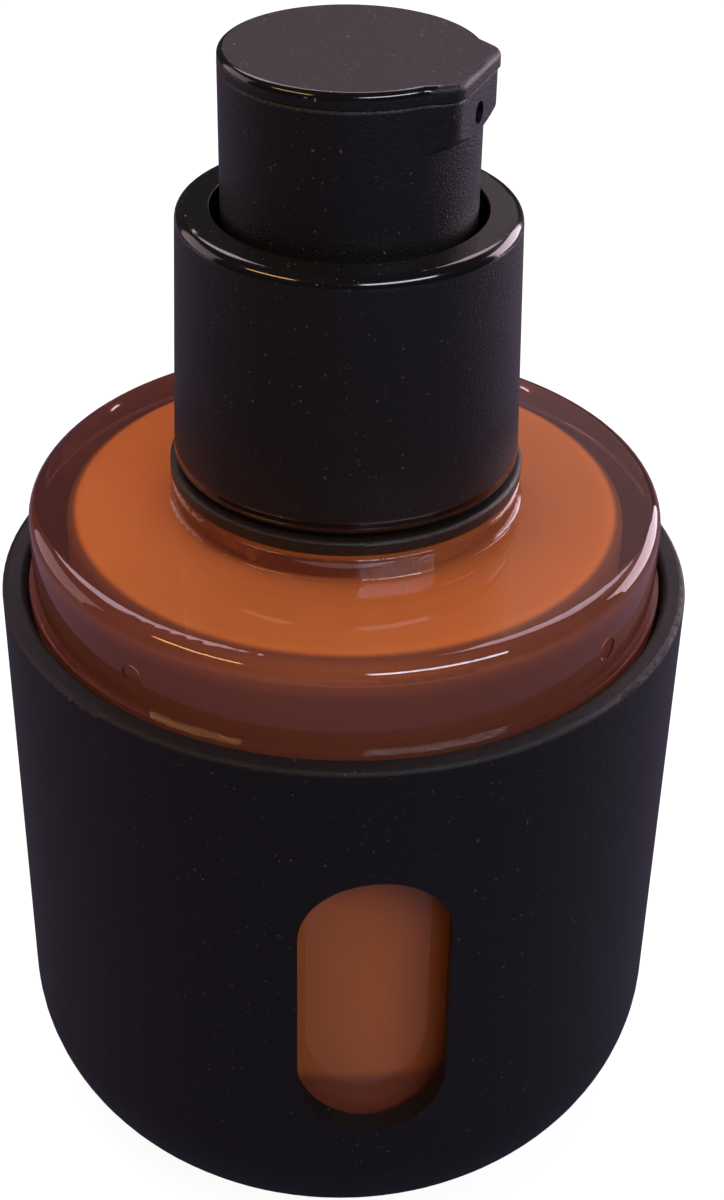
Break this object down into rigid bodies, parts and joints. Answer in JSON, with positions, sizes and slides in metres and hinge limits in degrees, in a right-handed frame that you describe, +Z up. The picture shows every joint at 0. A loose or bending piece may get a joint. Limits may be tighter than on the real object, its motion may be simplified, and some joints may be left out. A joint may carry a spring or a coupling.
{
  "type": "pump oil bottle",
  "caption": "Round glass bottle of oil in a matt sleeve with a slot window, under a screw collar and a press-down pump head with a short side spout.",
  "frame": {"origin": "centre of the sleeve's flat base", "axes": "+Z up along the bottle's axis, the sleeve's window faces -Y, the spout at rest points 28 degrees to the -Y side of +X"},
  "size_m": [0.05, 0.05, 0.087],
  "materials": {
    "sleeve_black": "fine matt texture",
    "collar_black": "satin wall with glossy rounded edges",
    "head_black": "satin",
    "pump_black": "satin",
    "pump_natural": "smooth natural polypropylene",
    "tube_natural": "smooth, translucent",
    "seal_white": "smooth soft polyethylene",
    "pad_grey": "matt foam",
    "clear_glass": "polished, thick",
    "oil_amber": "opaque orange-brown oil",
    "ball_steel": "polished stainless steel",
    "spring_steel": "drawn stainless wire"
  },
  "bodies": {
    "bottle": {"outer_sleeve": "sleeve_black", "bottle_pad": "pad_grey", "glass_bottle": "clear_glass", "oil_fill": "oil_amber"},
    "pump": {"pump_housing": "pump_natural", "housing_cap": "pump_black", "stem_wiper": "seal_white", "neck_gasket": "seal_white", "dip_tube": "tube_natural", "ball_cage": "pump_natural", "return_spring": "spring_steel"},
    "collar": {"closure": "pump_black", "collar_shroud": "collar_black"},
    "plunger": {"lower_stem": "pump_natural", "upper_stem": "pump_natural"},
    "piston_ring": {"piston": "seal_white"},
    "inlet_valve": {"inlet_ball": "ball_steel"},
    "head": {"actuator_body": "head_black", "actuator_core": "pump_natural", "actuator_top_plate": "head_black"}
  },
  "joints": [
    {"name": "pump_rise", "type": "slide", "parent": "bottle", "child": "pump", "axis": [0, 0, 1], "range_m": [0, 0.00397]},
    {"name": "collar_turn", "type": "hinge", "parent": "pump", "child": "collar", "pos_m": [0, 0, 0.0636], "axis": [0, 0, 1], "range_deg": [0, 450]},
    {"name": "press", "type": "slide", "parent": "pump", "child": "plunger", "axis": [0, 0, -1], "range_m": [0, 0.005], "stiffness_N_per_m": 900, "springref_m": -0.008, "deforming": ["return_spring"]},
    {"name": "piston_slip", "type": "slide", "parent": "plunger", "child": "piston_ring", "axis": [0, 0, 1], "range_m": [0, 0.0008]},
    {"name": "ball_lift", "type": "slide", "parent": "pump", "child": "inlet_valve", "axis": [0, 0, 1], "range_m": [0, 0.001]},
    {"name": "head_swivel", "type": "hinge", "parent": "plunger", "child": "head", "pos_m": [0, 0, 0.081], "axis": [0, 0, 1], "continuous": true}
  ],
  "couplings": [
    {"joint": "collar_turn", "follows": "pump_rise", "rad_per_m": 1979}
  ]
}
